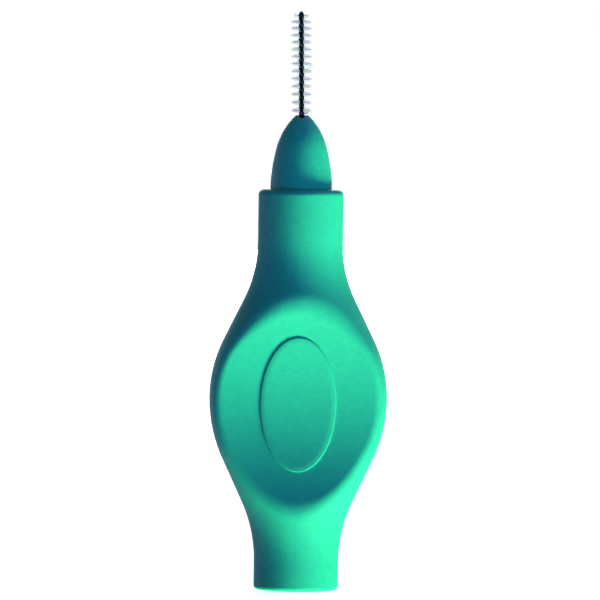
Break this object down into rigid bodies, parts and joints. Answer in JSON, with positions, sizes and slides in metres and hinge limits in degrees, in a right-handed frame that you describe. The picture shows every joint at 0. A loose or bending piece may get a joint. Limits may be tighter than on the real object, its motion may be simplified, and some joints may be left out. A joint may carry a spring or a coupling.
{
  "type": "interdental brush",
  "caption": "Interdental brush: a twisted-wire brush with nylon filaments, set in a bullet-shaped nose on a soft bulged grip that has a thumb dish at the front and back.",
  "frame": {"origin": "centre of the grip's flat tail end", "axes": "+Z along the length towards the brush, -Y out of the front thumb dish, +X to the right seen from the front"},
  "size_m": [0.0216, 0.013, 0.07],
  "materials": {
    "grip_elastomer": "soft satin elastomer",
    "core_plastic": "satin moulded plastic",
    "wire_steel": "drawn wire",
    "filament_nylon": "translucent nylon"
  },
  "bodies": {
    "root": {"grip": "grip_elastomer", "core_nose": "core_plastic", "core_wire": "wire_steel", "bristle_tier_01": "filament_nylon", "bristle_tier_02": "filament_nylon", "bristle_tier_03": "filament_nylon", "bristle_tier_04": "filament_nylon", "bristle_tier_05": "filament_nylon", "bristle_tier_06": "filament_nylon", "bristle_tier_07": "filament_nylon", "bristle_tier_08": "filament_nylon", "bristle_tier_09": "filament_nylon", "bristle_tier_10": "filament_nylon", "bristle_tier_11": "filament_nylon", "bristle_tier_12": "filament_nylon", "bristle_tier_13": "filament_nylon", "bristle_tier_14": "filament_nylon"}
  },
  "joints": []
}
